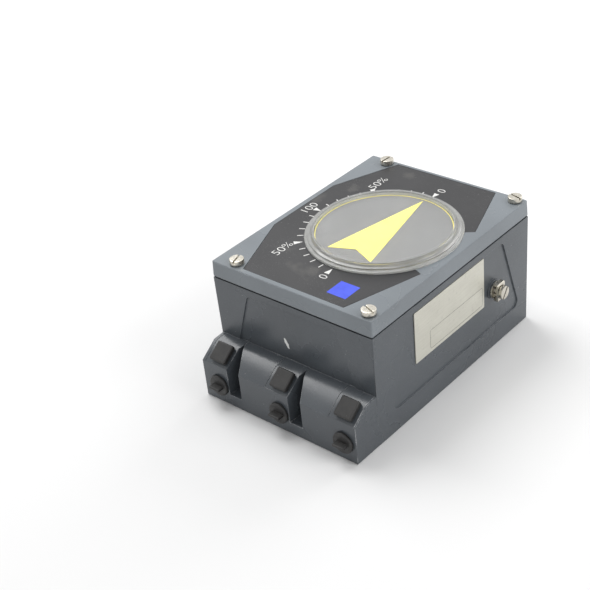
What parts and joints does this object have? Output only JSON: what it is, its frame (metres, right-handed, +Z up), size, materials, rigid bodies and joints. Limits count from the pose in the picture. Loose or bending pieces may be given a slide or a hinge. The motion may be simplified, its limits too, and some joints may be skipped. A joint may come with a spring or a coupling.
{
  "type": "pneumatic valve positioner",
  "caption": "Box-shaped pneumatic valve positioner with a round position window, a turning arrow over a printed scale, and a sloped gauge ledge.",
  "frame": {"origin": "centre of the spindle's end face, in the plane of the mounting base", "axes": "+Z up along the spindle towards the window, +Y the way the arrow points at 0, -Y the gauge ledge, +X the wall with the data plate"},
  "size_m": [0.1305, 0.1827, 0.0911],
  "materials": {
    "grey_enamel": "semi-gloss blue-grey stove enamel on die-cast aluminium",
    "die_casting": "bare die casting, matt",
    "steel": "turned stainless steel",
    "nickel_plate": "nickel-plated, slightly yellowed",
    "brass": "turned, satin",
    "bronze": "sintered, matt",
    "rubber": "black nitrile",
    "black_plastic": "moulded, matt",
    "scale_black": "dark grey printed film with white figures",
    "yellow_plastic": "bright yellow disc",
    "mask_grey": "dark grey film round the arrow",
    "clear_plastic": "clear polycarbonate, lightly scuffed",
    "data_plate_metal": "silver foil plate, blank"
  },
  "bodies": {
    "housing": {"housing": "grey_enamel", "cover_gasket": "rubber", "spindle_bush": "bronze", "follower_pin": "steel", "balance_pin": "steel", "pilot_block": "die_casting", "pilot_gasket": "rubber", "pilot_sleeve": "brass", "pilot_screw_left": "nickel_plate", "pilot_screw_right": "nickel_plate", "capsule_body": "die_casting", "capsule_cover": "die_casting", "capsule_screw_1": "nickel_plate", "capsule_screw_2": "nickel_plate", "capsule_screw_3": "nickel_plate", "capsule_screw_4": "nickel_plate", "diaphragm": "rubber", "gauge_plug_1": "black_plastic", "gauge_plug_2": "black_plastic", "gauge_plug_3": "black_plastic", "air_plug_1": "black_plastic", "air_plug_2": "black_plastic", "air_plug_3": "black_plastic", "breather": "black_plastic", "data_plate": "data_plate_metal", "earth_washer": "nickel_plate", "earth_clamp": "nickel_plate", "earth_screw": "nickel_plate"},
    "cover": {"cover": "grey_enamel", "scale_plate": "scale_black", "indicator_window": "clear_plastic", "window_seal": "rubber", "window_clip": "steel", "cover_screw_front_left": "nickel_plate", "cover_screw_front_right": "nickel_plate", "cover_screw_back_left": "nickel_plate", "cover_screw_back_right": "nickel_plate"},
    "spindle": {"spindle": "steel", "spindle_ring": "rubber", "cam": "steel", "cam_nut": "brass", "indicator_hub": "black_plastic", "indicator_disc": "yellow_plastic", "indicator_mask": "mask_grey"},
    "follower": {"follower_arm": "die_casting", "roller_pin": "steel"},
    "roller": {"follower_roller": "brass"},
    "zero_adjuster": {"zero_screw": "brass", "zero_wheel": "black_plastic"},
    "balance_arm": {"balance_arm": "die_casting", "feedback_spring": "steel"},
    "spool": {"pilot_spool": "steel"},
    "stem": {"diaphragm_stem": "steel"}
  },
  "joints": [
    {"name": "cover_lift", "type": "slide", "parent": "housing", "child": "cover", "axis": [0, 0, 1], "range_m": [0, 0.1]},
    {"name": "spindle_turn", "type": "hinge", "parent": "housing", "child": "spindle", "pos_m": [0, 0, 0], "axis": [0, 0, 1], "range_deg": [-5, 95]},
    {"name": "follower_swing", "type": "hinge", "parent": "housing", "child": "follower", "pos_m": [-0.026, 0.045, 0.055], "axis": [0, 0, 1], "range_deg": [-17, 1.5], "deforming": ["feedback_spring"]},
    {"name": "roller_spin", "type": "hinge", "parent": "follower", "child": "roller", "pos_m": [-0.02, 0.0004, 0.0615], "axis": [0, 0, 1], "range_deg": [-405, 25]},
    {"name": "zero_adjust", "type": "hinge", "parent": "follower", "child": "zero_adjuster", "pos_m": [-0.0228, 0.02121, 0.044], "axis": [1, 0, 0], "range_deg": [-180, 180]},
    {"name": "balance_swing", "type": "hinge", "parent": "housing", "child": "balance_arm", "pos_m": [0.038, -0.006, 0.024], "axis": [0, 0, 1], "range_deg": [-1.5, 1.5]},
    {"name": "spool_slide", "type": "slide", "parent": "housing", "child": "spool", "axis": [1, 0, 0], "range_m": [-0.0016, 0.0016]},
    {"name": "stem_slide", "type": "slide", "parent": "housing", "child": "stem", "axis": [1, 0, 0], "range_m": [-0.0016, 0.0016]}
  ],
  "couplings": [
    {"joint": "follower_swing", "follows": "spindle_turn", "ratio": -0.17027},
    {"joint": "roller_spin", "follows": "spindle_turn", "ratio": -4.2},
    {"joint": "spool_slide", "follows": "balance_swing", "m_per_rad": 0.054},
    {"joint": "stem_slide", "follows": "balance_swing", "m_per_rad": -0.056}
  ]
}
